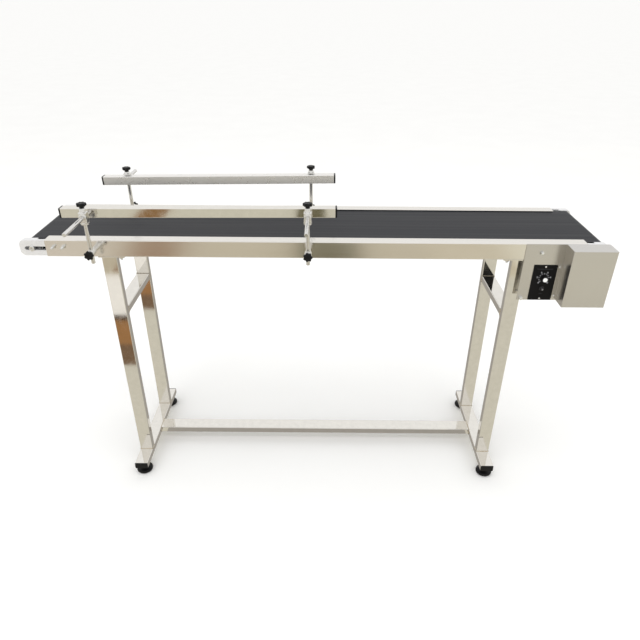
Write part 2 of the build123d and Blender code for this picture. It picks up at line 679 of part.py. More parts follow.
def levelling_foot(x, side):
    """Round pad on a threaded stud."""
    y = side * FOOT_Y
    pad = rod_z(x, y, PAD_R, 0, PAD_H)
    pad = fillet(pad.edges().filter_by(GeomType.CIRCLE), 2.5)
    cone = Cone(PAD_R - 5, 9.0, 6.0, align=(Align.CENTER, Align.CENTER, Align.MIN))
    dome = Pos(x, y, PAD_H) * cone
    return pad + dome + rod_z(x, y, 5.0, PAD_H + 3, BEAM_Z1 - TUBE_T - 3)


def foot_nuts():
    """Lock nuts that jam the studs against the beams."""
    made = []
    for x in (LEG_LEFT_X, LEG_RIGHT_X):
        for side in (-1, 1):
            nut = hex_z(x, side * FOOT_Y, 17.0, BEAM_Z0 - 7, BEAM_Z0)
            made.append(nut - rod_z(x, side * FOOT_Y, 5.0 + RUN_FIT, 0, 100))
    return group(made)


# --- M6 fasteners ---------------------------------------------------------------------
def through_bolt(x, z, y_in, y_face, side, stick_out):
    """Screw along Y from inside, its nut and thread end outside the face."""
    y_tip = y_face + side * stick_out
    shank = rod_y(x, z, M6, y_in, y_tip)
    tip = shank.edges().filter_by(GeomType.CIRCLE).group_by(Axis.Y)[-1 if side > 0 else 0]
    shank = chamfer(tip, 0.7)
    nut = hex_y(x, z, 10.0, y_face, y_face + side * 5.0)
    head = hex_y(x, z, 10.0, y_in, y_in - side * 4.0)
    return shank + nut + head


def m6_bolts():
    """End-block screws, head plate bolts and leg plate bolts."""
    made = []
    inner = WEB_Y - 10.0
    for side in (-1, 1):
        for x in SCREW_X:
            made.append(through_bolt(-x, SCREW_Z, side * inner, side * RAIL_Y, side, 15.0))
    for x in SCREW_X:
        made.append(through_bolt(x, SCREW_Z, inner, RAIL_Y, 1, 15.0))
    (ux, uz), (lx, lz) = plate_bolt_points()
    made.append(through_bolt(ux, uz, -WEB_Y, -PLATE_Y, -1, 9.0))
    made.append(through_bolt(lx, lz, -RAIL_Y, -PLATE_Y, -1, 8.0))
    for x in leg_bolt_x():
        for side in (-1, 1):
            y = side * LEG_BOLT_Y
            bolt = rod_z(x, y, M6, LEG_Z1 - 9, BLOCK_Z0 + 1)
            bolt += hex_z(x, y, 10.0, BLOCK_Z0, BLOCK_Z0 + 4)
            made.append(bolt + hex_z(x, y, 10.0, LEG_Z1 - 5, LEG_Z1))
    return group(made)


# --- everything -----------------------------------------------------------------------
def all_parts():
    """Every node by name."""
    front = -(POST_Y - FRONT_FACE)
    rear = POST_Y - REAR_FACE
    parts = {
        "rail_near": side_rail(-1),
        "rail_far": side_rail(1),
        "slider_bed": slider_bed(),
        "cross_members": cross_members(),
        "tail_blocks": tail_blocks(),
        "head_blocks": head_blocks(),
        "drive_bearings": drive_bearings(),
        "belt": belt(),
        "tail_roller": tail_roller(),
        "tail_axle": tail_axle(),
        "axle_screws": axle_screws(),
        "drive_roller": drive_roller(),
        "head_plate": head_plate(),
        "drive_cover": drive_cover(),
        "small_screws": small_screws(),
        "gearbox": gearbox(),
        "motor_body": motor_body(),
        "drive_pulley": drive_pulley(),
        "motor_pulley": motor_pulley(),
        "timing_belt": timing_belt(),
        "control_panel": control_panel(),
        "controller_case": controller_case(),
        "speed_knob": speed_knob(),
        "speed_knob_cap": speed_knob_cap(),
        "toggle_lever": toggle_lever(),
        "guide_rail_front": guide_rail(front, -1),
        "guide_caps_front": guide_caps(front, -1),
        "guide_rods_front": guide_rods(front, -(POST_Y + FRONT_ROD), -1),
        "posts_front": posts(-1),
        "upper_clamps_front": upper_clamps(-1),
        "guide_rail_rear": guide_rail(rear, 1),
        "guide_caps_rear": guide_caps(rear, 1),
        "guide_rods_rear": guide_rods(rear, POST_Y + REAR_ROD, 1),
        "posts_rear": posts(1),
        "upper_clamps_rear": upper_clamps(1),
        "lower_clamps": lower_clamps(),
        "leg_top_plates": leg_top_plates(),
        "leg_braces": leg_braces(),
        "foot_beams": foot_beams(),
        "beam_caps": beam_caps(),
        "stretcher": stretcher(),
        "foot_nuts": foot_nuts(),
        "m6_bolts": m6_bolts(),
    }
    for side, row in ((-1, "front"), (1, "rear")):
        for i, end in enumerate(("left", "right")):
            parts[f"upper_knob_{row}_{end}"] = upper_knob(CLAMP_X[i], side)
            parts[f"lower_knob_{row}_{end}"] = lower_knob(CLAMP_X[i], side)
            x = LEG_LEFT_X if i == 0 else LEG_RIGHT_X
            parts[f"leg_{row}_{end}"] = leg(x, side)
            parts[f"foot_{row}_{end}"] = levelling_foot(x, side)
    return parts


os.makedirs("parts", exist_ok=True)
for name, shape in all_parts().items():
    export_step(shape, f"parts/{name}.step")
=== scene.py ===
import json
import math

import bmesh
import bpy
from mathutils import Matrix, Vector


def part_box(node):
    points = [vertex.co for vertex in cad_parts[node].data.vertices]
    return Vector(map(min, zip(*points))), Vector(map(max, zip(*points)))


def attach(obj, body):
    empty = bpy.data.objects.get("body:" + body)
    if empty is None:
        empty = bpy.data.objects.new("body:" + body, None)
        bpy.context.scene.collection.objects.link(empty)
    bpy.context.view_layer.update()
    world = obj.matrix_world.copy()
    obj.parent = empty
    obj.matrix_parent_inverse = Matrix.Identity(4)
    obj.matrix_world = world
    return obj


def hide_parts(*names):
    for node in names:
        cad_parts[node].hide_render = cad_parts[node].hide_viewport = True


bl_info = {
    "name": "Bench Belt Conveyor",
    "version": (1, 0, 0),
    "blender": (4, 5, 0),
    "location": "3D View > Sidebar > Conveyor",
    "description": "Finishes and fine pieces of a stainless bench belt conveyor",
    "category": "Object",
}

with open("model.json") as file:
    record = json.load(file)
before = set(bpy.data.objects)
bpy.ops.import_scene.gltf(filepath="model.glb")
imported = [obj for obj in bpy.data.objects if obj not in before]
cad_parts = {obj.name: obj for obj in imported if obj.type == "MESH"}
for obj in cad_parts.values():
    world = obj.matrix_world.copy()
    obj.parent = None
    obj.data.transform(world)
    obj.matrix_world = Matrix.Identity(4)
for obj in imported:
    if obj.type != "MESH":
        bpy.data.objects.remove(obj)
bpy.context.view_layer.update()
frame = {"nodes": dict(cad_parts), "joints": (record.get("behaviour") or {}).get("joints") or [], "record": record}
NODES = frame["nodes"]
BODY_OF = {node: body for body, nodes in frame["record"]["behaviour"]["bodies"].items() for node in nodes}
PIVOT_OF = {joint["name"]: Vector(joint["pos_m"]) for joint in frame["joints"] if "pos_m" in joint}
MM = 0.001
M6_R = 2.95               # crest radius of an M6 thread, in millimetres
BORE_R = 5.12             # running bore for the 10 mm posts and rods
CLAMP_SCREW_R = 3.1       # bore for a star knob's stud
GRIP_H = 13.0             # height of a star knob's grip
GRIP_R = 12.5
CROSS_DOWN = 19.0         # rod axis of an upper clamp above the clamp's foot
DIAL_PRINT = 0.1          # depth of the raised dial print
CORNERS = [(row, end) for row in ("front", "rear") for end in ("left", "right")]


# ------------------------------------------------------------------ colour and nodes
def linear(hex_code):
    """sRGB hex to linear RGBA."""
    def channel(pair):
        c = int(pair, 16) / 255
        return c / 12.92 if c <= 0.04045 else ((c + 0.055) / 1.055) ** 2.4
    code = hex_code.lstrip("#")
    return (channel(code[0:2]), channel(code[2:4]), channel(code[4:6]), 1.0)


def add(tree, kind, links=None, **settings):
    """Add a node, set its sockets or properties, and link its inputs."""
    item = tree.nodes.new(kind)
    for key, value in settings.items():
        if hasattr(item, key):
            setattr(item, key, value)
        else:
            item.inputs[key.replace("_", " ")].default_value = value
    for socket, source in (links or {}).items():
        tree.links.new(source, item.inputs[socket])
    return item


def start(name):
    """A new material with a Principled shader and object coordinates."""
    mat = bpy.data.materials.new(name)
    mat.use_nodes = True
    tree = mat.node_tree
    shader = tree.nodes["Principled BSDF"]
    coords = tree.nodes.new("ShaderNodeTexCoord").outputs["Object"]
    return mat, tree, shader, coords


def ramp(tree, source, low, high, a, b):
    """Colour between two ends, a at low and b at high."""
    item = add(tree, "ShaderNodeValToRGB", {"Fac": source})
    item.color_ramp.elements[0].position = low
    item.color_ramp.elements[0].color = a
    item.color_ramp.elements[1].position = high
    item.color_ramp.elements[1].color = b
    return item.outputs["Color"]


def remap(tree, source, low, high, from_low=0.0, from_high=1.0):
    """Stretch a value to another range."""
    item = add(tree, "ShaderNodeMapRange", {"Value": source})
    item.inputs["From Min"].default_value = from_low
    item.inputs["From Max"].default_value = from_high
    item.inputs["To Min"].default_value = low
    item.inputs["To Max"].default_value = high
    return item.outputs["Result"]


def dress(tree, shader, tone, rough, bump):
    """Link colour, roughness and relief to the shader."""
    tree.links.new(tone, shader.inputs["Base Color"])
    tree.links.new(rough, shader.inputs["Roughness"])
    tree.links.new(bump, shader.inputs["Normal"])


# ------------------------------------------------------------------------- materials
def brushed_stainless(name, hex_a, hex_b, grain_mm, rough_low, rough_high):
    """Belt-brushed 304 sheet: fine parallel lines that soften and stretch its reflections."""
    mat, tree, shader, coords = start(name)
    per_m = tuple(1000.0 / size for size in grain_mm)
    lines = add(tree, "ShaderNodeMapping", {"Vector": coords}, Scale=per_m)
    grain = add(tree, "ShaderNodeTexNoise", {"Vector": lines.outputs["Vector"]}, Scale=1.0, Detail=3.0)
    cloud = add(tree, "ShaderNodeTexNoise", {"Vector": coords}, Scale=4.0, Detail=2.0)
    both = add(tree, "ShaderNodeMath", {0: grain.outputs["Fac"], 1: cloud.outputs["Fac"]}, operation="ADD")
    tone = ramp(tree, both.outputs["Value"], 0.7, 1.3, linear(hex_a), linear(hex_b))
    rough = remap(tree, both.outputs["Value"], rough_low, rough_high, 0.6, 1.4)
    bump = add(tree, "ShaderNodeBump", {"Height": grain.outputs["Fac"]}, Strength=0.05, Distance=0.00003)
    dress(tree, shader, tone, rough, bump.outputs["Normal"])
    shader.inputs["Metallic"].default_value = 1.0
    return mat


def polished_stainless(name, hex_a, hex_b, rough_low, rough_high):
    """Buffed welded tube: near-mirror reflections that bend a little with the hand polish."""
    mat, tree, shader, coords = start(name)
    wave = add(tree, "ShaderNodeTexNoise", {"Vector": coords}, Scale=5.0, Detail=1.0)
    haze = add(tree, "ShaderNodeTexNoise", {"Vector": coords}, Scale=60.0, Detail=4.0)
    tone = ramp(tree, haze.outputs["Fac"], 0.2, 0.8, linear(hex_a), linear(hex_b))
    rough = remap(tree, haze.outputs["Fac"], rough_low, rough_high, 0.3, 0.7)
    bump = add(tree, "ShaderNodeBump", {"Height": wave.outputs["Fac"]}, Strength=0.4, Distance=0.0006)
    dress(tree, shader, tone, rough, bump.outputs["Normal"])
    shader.inputs["Metallic"].default_value = 1.0
    return mat


def moulded(name, hex_a, hex_b, metallic, rough_a, rough_b, grain_mm, depth_mm, shine=0.5):
    """A surface of even grain, such as a moulding, casting or plating, in two close tones."""
    mat, tree, shader, coords = start(name)
    grain = add(tree, "ShaderNodeTexNoise", {"Vector": coords}, Scale=1000.0 / grain_mm, Detail=3.0)
    cloud = add(tree, "ShaderNodeTexNoise", {"Vector": coords}, Scale=18.0, Detail=2.0)
    both = add(tree, "ShaderNodeMath", {0: grain.outputs["Fac"], 1: cloud.outputs["Fac"]}, operation="ADD")
    tone = ramp(tree, both.outputs["Value"], 0.75, 1.25, linear(hex_a), linear(hex_b))
    rough = remap(tree, both.outputs["Value"], rough_a, rough_b, 0.7, 1.3)
    relief = {"Height": grain.outputs["Fac"]}
    bump = add(tree, "ShaderNodeBump", relief, Strength=0.3, Distance=depth_mm * MM)
    dress(tree, shader, tone, rough, bump.outputs["Normal"])
    shader.inputs["Metallic"].default_value = metallic
    shader.inputs["Specular IOR Level"].default_value = shine
    return mat


def pvc_belt():
    """PVC-faced conveyor belt with a fine fabric imprint: matt, with faint running streaks."""
    mat, tree, shader, coords = start("matt_pvc_belt")
    lanes = add(tree, "ShaderNodeMapping", {"Vector": coords}, Scale=(1.2, 60.0, 1.2))
    streak = add(tree, "ShaderNodeTexNoise", {"Vector": lanes.outputs["Vector"]}, Scale=1.0, Detail=4.0)
    weave = add(tree, "ShaderNodeTexVoronoi", {"Vector": coords}, Scale=700.0)
    tone = ramp(tree, streak.outputs["Fac"], 0.3, 0.7, linear("#1f2024"), linear("#24252a"))
    rough = remap(tree, streak.outputs["Fac"], 0.50, 0.62, 0.3, 0.7)
    shader.inputs["Specular IOR Level"].default_value = 0.3
    relief = {"Height": weave.outputs["Distance"]}
    bump = add(tree, "ShaderNodeBump", relief, Strength=0.25, Distance=0.0002)
    dress(tree, shader, tone, rough, bump.outputs["Normal"])
    return mat


FINISHES = {}


def build_finishes():
    """One material per real finish."""
    FINISHES.update(
        sheet=brushed_stainless("satin_stainless_sheet", "#e5e2dc", "#eae7e2",
                                (160.0, 1.1, 1.1), 0.13, 0.19),
        cover=brushed_stainless("satin_stainless_cover", "#cbc8c5", "#cfcdca",
                                (0.4, 0.4, 80.0), 0.24, 0.28),
        tube=polished_stainless("polished_stainless_tube", "#e3e0da", "#ebe8e2", 0.05, 0.09),
        hazed=polished_stainless("hazed_stainless_tube", "#eeece9", "#f3f1ee", 0.26, 0.32),
        rod=polished_stainless("ground_stainless_rod", "#dcdbda", "#e6e5e4", 0.16, 0.22),
        bead=moulded("heat_tinted_weld_bead", "#b9a88a", "#d2c9b8", 1.0, 0.22, 0.36, 1.5, 0.05),
        belt=pvc_belt(),
        block=moulded("silver_anodised_aluminium", "#dcdcdd", "#e9e9ea", 0.55, 0.34, 0.46, 0.8, 0.02),
        casting=moulded("tumbled_zinc_die_casting", "#d2d0cc", "#e4e3e0", 1.0, 0.24, 0.36, 1.5, 0.05),
        nylon=moulded("moulded_black_nylon", "#040405", "#09090b", 0.0, 0.28, 0.40, 0.6, 0.04, 0.22),
        panel=moulded("printed_black_polycarbonate", "#050506", "#09090b",
                      0.0, 0.36, 0.44, 0.3, 0.01, 0.16),
        print=moulded("pale_screen_print", "#dcdce2", "#e6e6ec", 0.0, 0.50, 0.60, 0.3, 0.005),
        faint=moulded("dim_screen_print", "#3c3c42", "#47474d", 0.0, 0.50, 0.60, 0.3, 0.005),
        lever=moulded("dull_nickel_lever", "#a6a6aa", "#b4b4b8", 0.8, 0.34, 0.44, 0.5, 0.01),
        white=moulded("moulded_white_abs", "#ececea", "#f7f7f5", 0.0, 0.25, 0.33, 0.6, 0.01),
        zinc=moulded("bright_zinc_plated_steel", "#d2d2d0", "#e8e8e6", 1.0, 0.14, 0.26, 0.9, 0.02),
        ground=moulded("ground_bearing_steel", "#a8a9aa", "#c2c3c4", 1.0, 0.20, 0.32, 0.7, 0.01),
        motor=moulded("cast_motor_aluminium", "#8f9193", "#a8aaab", 0.9, 0.38, 0.52, 1.2, 0.06),
        rubber=moulded("black_drive_belt_rubber", "#151515", "#1e1e1e", 0.0, 0.55, 0.70, 0.5, 0.04),
        case=moulded("moulded_black_abs_case", "#1a1a1c", "#242427", 0.0, 0.42, 0.52, 0.7, 0.03),
    )


NODE_FINISH = {
    "sheet": "rail_near rail_far slider_bed cross_members",
    "cover": "head_plate drive_cover",
    "tube": "leg_front_left leg_front_right leg_rear_left leg_rear_right leg_top_plates leg_braces "
            "foot_beams stretcher guide_rail_front",
    "hazed": "guide_rail_rear",
    "rod": "guide_rods_front guide_rods_rear posts_front posts_rear",
    "belt": "belt",
    "block": "tail_blocks head_blocks",
    "nylon": "beam_caps guide_caps_front guide_caps_rear",
    "panel": "control_panel",
    "ground": "drive_bearings tail_axle tail_roller drive_roller",
    "motor": "gearbox motor_body drive_pulley motor_pulley",
    "rubber": "timing_belt",
    "case": "controller_case",
}

# Edge rounding of each carried-over shape, in millimetres.
EASING = {
    0.25: "leg_front_left leg_front_right leg_rear_left leg_rear_right leg_braces foot_beams stretcher "
          "guide_rail_front guide_rail_rear slider_bed cross_members",
    0.40: "rail_near rail_far leg_top_plates guide_rods_front guide_rods_rear posts_front posts_rear "
          "control_panel tail_axle",
    0.50: "head_plate drive_cover belt",
    0.70: "tail_blocks head_blocks controller_case beam_caps guide_caps_front guide_caps_rear motor_body",
    1.20: "gearbox",
}


# ------------------------------------------------------------------------- modelling
def rest():
    """Object mode with nothing selected."""
    if bpy.context.mode != "OBJECT":
        bpy.ops.object.mode_set(mode="OBJECT")
    bpy.ops.object.select_all(action="DESELECT")


def take(piece):
    """Select one piece alone and make it active."""
    rest()
    piece.select_set(True)
    bpy.context.view_layer.objects.active = piece
    return piece


def open_mesh(piece):
    """Edit mode with the whole mesh selected."""
    take(piece)
    bpy.ops.object.mode_set(mode="EDIT")
    bpy.ops.mesh.select_all(action="SELECT")


def place_and_way(item, kind):
    """Centre and direction of a face, an edge or a point."""
    if kind == "FACE":
        return item.calc_center_median(), item.normal
    if kind == "EDGE":
        a, b = item.verts
        return (a.co + b.co) / 2, (b.co - a.co).normalized()
    return item.co, item.normal


def pick(kind, wanted):
    """In edit mode, select only the faces, edges or points whose place and direction pass a test."""
    bpy.ops.mesh.select_all(action="DESELECT")
    bpy.ops.mesh.select_mode(type=kind)
    mesh = bpy.context.object.data
    form = bmesh.from_edit_mesh(mesh)
    for item in {"FACE": form.faces, "EDGE": form.edges, "VERT": form.verts}[kind]:
        if wanted(*place_and_way(item, kind)):
            item.select_set(True)
    form.select_flush_mode()
    bmesh.update_edit_mesh(mesh)


def close_mesh():
    """Turn every face outwards and go back to object mode."""
    bpy.ops.mesh.select_all(action="SELECT")
    bpy.ops.mesh.normals_make_consistent(inside=False)
    bpy.ops.object.mode_set(mode="OBJECT")


def turned(name, rings, sides=48):
    """A solid turned about Z and drawn up ring by ring; a ring is a height and a radius in mm."""
    rest()
    z, r = rings[0]
    bpy.ops.mesh.primitive_circle_add(
        vertices=sides, radius=r * MM, fill_type="NGON", location=(0, 0, z * MM))
    piece = bpy.context.object
    piece.name = name
    bpy.ops.object.transform_apply(location=True)
    open_mesh(piece)
    for z_next, r_next in rings[1:]:
        rise = (0, 0, (z_next - z) * MM)
        bpy.ops.mesh.extrude_region_move(TRANSFORM_OT_translate={"value": rise})
        ratio = r_next / r
        bpy.ops.transform.resize(value=(ratio, ratio, 1), center_override=(0, 0, 0))
        z, r = z_next, r_next
    close_mesh()
    return piece


def block(name, size, centre=(0, 0, 0)):
    """A box of a size in mm about a centre in mm."""
    rest()
    bpy.ops.mesh.primitive_cube_add(size=MM, location=[c * MM for c in centre], scale=size)
    piece = bpy.context.object
    piece.name = name
    bpy.ops.object.transform_apply(location=True, scale=True)
    return piece


def apply_modifier(piece, kind, **settings):
    """Add a modifier with its settings and apply it."""
    take(piece)
    modifier = piece.modifiers.new(kind.lower(), kind)
    for key, value in settings.items():
        setattr(modifier, key, value)
    bpy.ops.object.modifier_apply(modifier=modifier.name)


def combine(piece, tool, operation="DIFFERENCE"):
    """Cut a tool out of a piece, or add or intersect it, and remove the tool."""
    apply_modifier(piece, "BOOLEAN", operation=operation, solver="EXACT", object=tool)
    bpy.data.objects.remove(tool)
    return piece


def ease(piece, width, segments=2, sharper=35.0):
    """Round the edges that are sharper than an angle, by a width in mm."""
    apply_modifier(piece, "BEVEL", width=width * MM, segments=segments, limit_method="ANGLE",
                   angle_limit=math.radians(sharper), use_clamp_overlap=False)
    smooth(piece, 32)
    return piece


def smooth(piece, sharper):
    """Shade the faces smooth between sharp edges, and keep the large flats truly flat."""
    take(piece)
    bpy.ops.object.shade_smooth_by_angle(angle=math.radians(sharper))
    apply_modifier(piece, "WEIGHTED_NORMAL", mode="FACE_AREA", weight=100, keep_sharp=True)


def join(pieces, name):
    """Several meshes as one object."""
    rest()
    for piece in pieces:
        piece.select_set(True)
    bpy.context.view_layer.objects.active = pieces[0]
    if len(pieces) > 1:
        bpy.ops.object.join()
    pieces[0].name = name
    return pieces[0]


def twin(piece, place, name):
    """A copy with its own mesh, put in place by a matrix."""
    other = piece.copy()
    other.data = piece.data.copy()
    other.name = name
    bpy.context.scene.collection.objects.link(other)
    other.matrix_world = place
    return other


def discard(piece):
    """Remove a master shape after its copies are made."""
    bpy.data.objects.remove(piece)


def facing(place, way):
    """A matrix that puts +Z along a direction at a place."""
    turn = Vector(way).to_track_quat("Z", "Y").to_matrix().to_4x4()
    return Matrix.Translation(place) @ turn


def fit_out(piece, node, finish, stands_for=True):
    """Apply a piece's place, give it its finish, and let it ride with its node's body."""
    take(piece)
    bpy.ops.object.transform_apply(location=True, rotation=True, scale=True)
    piece.data.materials.clear()
    piece.data.materials.append(FINISHES[finish])
    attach(piece, BODY_OF[node])
    if stands_for:
        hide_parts(node)
    return piece


def welded_copy(node):
    """A copy of a CAD node with its loose triangles merged into whole faces."""
    rest()
    piece = bpy.data.objects.new(node + "_eased", NODES[node].data.copy())
    bpy.context.scene.collection.objects.link(piece)
    take(piece)
    bpy.ops.mesh.customdata_custom_splitnormals_clear()
    open_mesh(piece)
    bpy.ops.mesh.remove_doubles(threshold=0.00001)
    bpy.ops.mesh.dissolve_limited(angle_limit=math.radians(0.5))
    bpy.ops.object.mode_set(mode="OBJECT")
    return piece


def solid_boxes(node):
    """Lowest and highest corner of each separate solid in a CAD node, sorted by place."""
    piece = welded_copy(node)
    open_mesh(piece)
    bpy.ops.mesh.separate(type="LOOSE")
    bpy.ops.object.mode_set(mode="OBJECT")
    boxes = []
    for part in list(bpy.context.selected_objects):
        points = [vertex.co for vertex in part.data.vertices]
        low = Vector([min(p[i] for p in points) for i in range(3)])
        high = Vector([max(p[i] for p in points) for i in range(3)])
        boxes.append((low, high))
        bpy.data.objects.remove(part)
    return sorted(boxes, key=lambda corners: tuple(round(c, 4) for c in corners[0]))


# -------------------------------------------------------------- shapes used many times
def thread(start_z, end_z, radius, pitch):
    """Rings of a screw thread, crest and root in turn."""
    rings = []
    steps = int(round((end_z - start_z) / (pitch / 2)))
    for i in range(steps + 1):
        depth = 0.32 * pitch if i % 2 else 0.0
        rings.append((start_z + i * pitch / 2, radius - depth))
    return rings


def hexagon(name, flats, height, z=0.0):
    """A nut or bolt head with both rims turned down, seated at a height in mm."""
    rest()
    across = flats / math.sqrt(3)
    bpy.ops.mesh.primitive_cylinder_add(
        vertices=6, radius=across * MM, depth=height * MM, location=(0, 0, (z + height / 2) * MM))
    head = bpy.context.object
    head.name = name
    bpy.ops.object.transform_apply(location=True)
    drop = (across - flats / 2 + 0.3) * math.tan(math.radians(30))
    rim = flats / 2 - 0.3
    rings = [(z, rim), (z + drop, across), (z + height - drop, across), (z + height, rim)]
    combine(head, turned("rim_tool", rings, 64), "INTERSECT")
    return ease(head, 0.15, 1, 50.0)


def bolt(length, stick_out):
    """M6 bolt, head at z = 0, with its nut and thread end beyond the clamped sheets; sizes in mm."""
    head = hexagon("bolt_head", 10.0, 4.0)
    nut = hexagon("bolt_nut", 10.0, 5.0, length - stick_out)
    shank_end = length - stick_out + 1.0
    rings = [(3.5, M6_R), (shank_end, M6_R)] + thread(shank_end + 0.3, length - 0.8, M6_R, 1.0)
    shank = turned("bolt_shank", rings + [(length, 2.2)], 24)
    take(shank)
    bpy.ops.object.shade_smooth_by_angle(angle=math.radians(40))
    return join([head, nut, shank], "m6_bolt")


def weld_run(start_at, end_at):
    """A straight run of overlapping weld ripples between two points, in metres."""
    way = Vector(end_at) - Vector(start_at)
    count = max(2, int(way.length / (1.9 * MM)))
    rest()
    bpy.ops.mesh.primitive_uv_sphere_add(segments=10, ring_count=6, radius=1.5 * MM, location=start_at,
                                         scale=(1.0, 1.0, 0.9))
    run = bpy.context.object
    apply_modifier(run, "ARRAY", count=count, use_relative_offset=False, use_constant_offset=True,
                   constant_offset_displace=way / (count - 1))
    bpy.ops.object.shade_smooth()
    return run


def weld_ring(low, high, flat_axis, level):
    """Four weld runs round a tube's section, which lies flat across one axis at a level."""
    a, b = [axis for axis in range(3) if axis != flat_axis]
    corners = []
    for u, v in ((low[a], low[b]), (high[a], low[b]), (high[a], high[b]), (low[a], high[b])):
        point = [0.0, 0.0, 0.0]
        point[a], point[b], point[flat_axis] = u, v, level
        corners.append(point)
    return [weld_run(corners[i], corners[(i + 1) % 4]) for i in range(4)]


# ------------------------------------------------------------------------ properties
class ConveyorLook(bpy.types.PropertyGroup):
    knob_lobes: bpy.props.IntProperty(
        name="Knob lobes", description="Lobes round each star knob", default=7, min=3, max=12)
    lobe_depth: bpy.props.FloatProperty(
        name="Lobe depth", description="Share of the radius cut away between lobes", default=0.20,
        min=0.0, max=0.5)
    dial_marks: bpy.props.IntProperty(
        name="Dial marks", description="Numbered marks on the speed dial", default=11, min=2, max=21)
    dial_sweep: bpy.props.FloatProperty(
        name="Dial sweep", description="Angle from the first dial mark to the last", subtype="ANGLE",
        default=math.radians(280))
    floor_size: bpy.props.FloatProperty(
        name="Floor size", description="Side of the pale floor", default=900.0, unit="LENGTH")
    floor_colour: bpy.props.FloatVectorProperty(
        name="Floor colour", description="Paint colour of the floor", subtype="COLOR", size=4,
        min=0.0, max=1.0, default=linear("#fefefd"))
    camera_place: bpy.props.FloatVectorProperty(
        name="Camera place", description="Where the camera stands", subtype="XYZ", unit="LENGTH",
        default=(0.0207, -1.5285, 1.3450))
    camera_pitch: bpy.props.FloatProperty(
        name="Camera pitch", description="How far the camera looks down", subtype="ANGLE",
        default=math.radians(30.06))
    camera_lens: bpy.props.FloatProperty(
        name="Lens", description="Focal length in millimetres", default=31.72)
    sky_strength: bpy.props.FloatProperty(
        name="Sky strength", description="Brightness of the surrounding light", default=1.03)


# ------------------------------------------------------------------------- operators
class CONVEYOR_OT_finishes(bpy.types.Operator):
    """Give every carried-over CAD node its real finish"""
    bl_idname = "conveyor.finishes"
    bl_label = "Finishes"

    def execute(self, context):
        build_finishes()
        for key, names in NODE_FINISH.items():
            for name in names.split():
                mesh = NODES[name].data
                mesh.materials.clear()
                mesh.materials.append(FINISHES[key])
        return {"FINISHED"}


class CONVEYOR_OT_eased_parts(bpy.types.Operator):
    """Sheet, tube and block parts with the small edge radii that forming and deburring leave"""
    bl_idname = "conveyor.eased_parts"
    bl_label = "Eased Parts"

    def execute(self, context):
        finish_of = {name: key for key, names in NODE_FINISH.items() for name in names.split()}
        for width, names in EASING.items():
            for name in names.split():
                fit_out(ease(welded_copy(name), width), name, finish_of[name])
        return {"FINISHED"}


class CONVEYOR_OT_star_knobs(bpy.types.Operator):
    """Moulded star knobs, each on a zinc-plated stud"""
    bl_idname = "conveyor.star_knobs"
    bl_label = "Star Knobs"

    def execute(self, context):
        look = context.scene.conveyor_look
        head = self.head(look)
        for level in ("upper", "lower"):
            for row, end in CORNERS:
                node = f"{level}_knob_{row}_{end}"
                place = self.seat(node, level, row)
                fit_out(twin(head, place, node + "_grip"), node, "nylon")
                low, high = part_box(node)
                reach = (high.z - low.z if level == "upper" else high.y - low.y) / MM - GRIP_H
                stud = turned(node + "_stud", [(-reach, 2.4)] + thread(-reach + 0.5, 1.5, M6_R, 1.0), 24)
                stud.matrix_world = place
                fit_out(stud, node, "zinc", False)
        discard(head)
        return {"FINISHED"}

    def seat(self, node, level, row):
        """Where a knob's lower face sits: a grip's height in from its domed face."""
        low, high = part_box(node)
        axis = PIVOT_OF[node + "_turn"]
        if level == "upper":
            return facing((axis.x, axis.y, high.z - GRIP_H * MM), (0, 0, 1))
        side = -1 if row == "front" else 1
        face = low.y if side < 0 else high.y
        return facing((axis.x, face - side * GRIP_H * MM, axis.z), (0, side, 0))

    def head(self, look):
        """Conical hub under a lobed grip with a dished top."""
        per_lobe = 12
        rings = [(0.0, 5.5), (1.0, 5.8), (4.4, 8.2), (5.0, 11.6), (5.6, 12.4), (10.6, GRIP_R),
                 (11.6, 11.9), (12.4, 10.6), (12.9, 8.6), (GRIP_H, 6.6), (12.4, 5.9), (12.3, 2.0)]
        head = turned("star_knob", rings, look.knob_lobes * per_lobe)
        open_mesh(head)
        for step in range(per_lobe // 2 + 1):
            factor = 1 - look.lobe_depth * (1 - math.cos(math.tau * step / per_lobe)) / 2

            def on_step(place, way):
                turn = math.atan2(place.y, place.x) / math.tau * look.knob_lobes
                away = abs(turn - round(turn)) * per_lobe
                outer = math.hypot(place.x, place.y) > 0.62 * GRIP_R * MM
                return outer and abs(away - step) < 0.25 and place.z > 4.7 * MM

            pick("VERT", on_step)
            bpy.ops.transform.resize(value=(factor, factor, 1), center_override=(0, 0, 0))
        close_mesh()
        take(head)
        bpy.ops.object.shade_smooth_by_angle(angle=math.radians(48))
        return head


